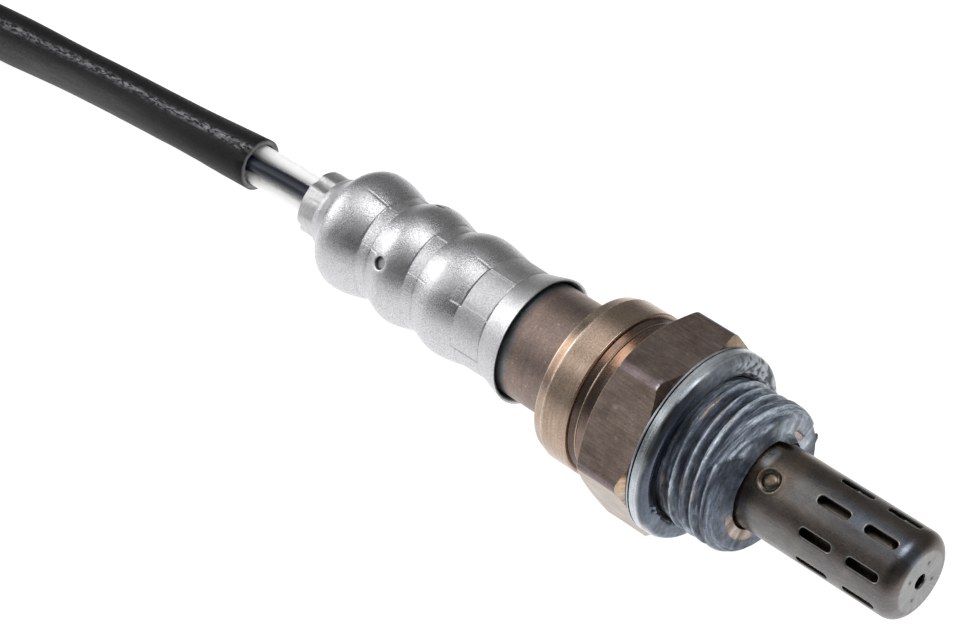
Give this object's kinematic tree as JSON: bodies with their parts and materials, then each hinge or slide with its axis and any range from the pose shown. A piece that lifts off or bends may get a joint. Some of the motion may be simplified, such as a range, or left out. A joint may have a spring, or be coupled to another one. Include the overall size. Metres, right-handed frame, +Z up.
{
  "type": "oxygen sensor",
  "caption": "Heated exhaust oxygen sensor with threaded hex body, slotted shield, crimped cover and sleeved lead ending in a plain connector.",
  "frame": {"origin": "centre of the sensor's own footprint on the surface it lies on, the lead and its connector left out", "axes": "+Z up from the surface, +X along the sensor towards its slotted tip (the sensor's axis rises 4.30 degrees towards the tip), +Y to the sensor's left seen from behind with +Z up"},
  "size_m": [0.3035, 0.0549, 0.023],
  "materials": {
    "shield_steel": "satin, heat-tinted grey-brown drawn sheet",
    "hex_steel": "brown heat-tinted machined steel, fine brushing on the flats, grey thread paste on the thread",
    "washer_steel": "folded sheet steel, polished rim",
    "casing_steel": "brown heat-tinted tube, fine grain",
    "blasted_steel": "bead-blasted silver with soft white highlights",
    "ferrule_steel": "satin silver with crimp facets",
    "grommet_rubber": "matt dark grey",
    "ceramic_white": "matt white steatite",
    "talc_powder": "pressed powder, matt",
    "contact_metal": "bright nickel-plated spring strip",
    "sleeve_rubber": "satin black with fine lengthwise streaks",
    "wire_white": "smooth white insulation",
    "wire_blue": "smooth very dark blue insulation",
    "wire_black": "smooth black insulation",
    "nylon_black": "fine moulded grain",
    "nylon_grey": "fine moulded grain",
    "seal_rubber": "matt black",
    "seal_orange": "soft silicone, satin"
  },
  "bodies": {
    "root": {"outer_shield": "shield_steel", "inner_shield": "shield_steel", "metal_shell": "hex_steel", "seal_washer": "washer_steel", "lower_casing": "casing_steel", "boot_shell": "blasted_steel", "wire_ferrule": "ferrule_steel", "wire_grommet": "grommet_rubber", "sensing_element": "ceramic_white", "front_insulator": "ceramic_white", "talc_seal": "talc_powder", "rear_insulator": "ceramic_white", "packing_ring": "washer_steel", "contact_holder_upper": "ceramic_white", "contact_holder_lower": "ceramic_white", "holder_clip": "contact_metal", "heater_contact_upper": "contact_metal", "heater_contact_lower": "contact_metal", "signal_contact": "contact_metal", "ground_contact": "contact_metal", "lead_sleeve": "sleeve_rubber", "wire_white_upper": "wire_white", "wire_dark_blue": "wire_blue", "wire_white_lower": "wire_white", "wire_black": "wire_black", "cable_tie": "nylon_black", "connector_boot": "seal_rubber", "connector_housing": "nylon_black", "connector_seal": "seal_orange", "connector_lock": "nylon_grey", "connector_terminals": "contact_metal"}
  },
  "joints": []
}
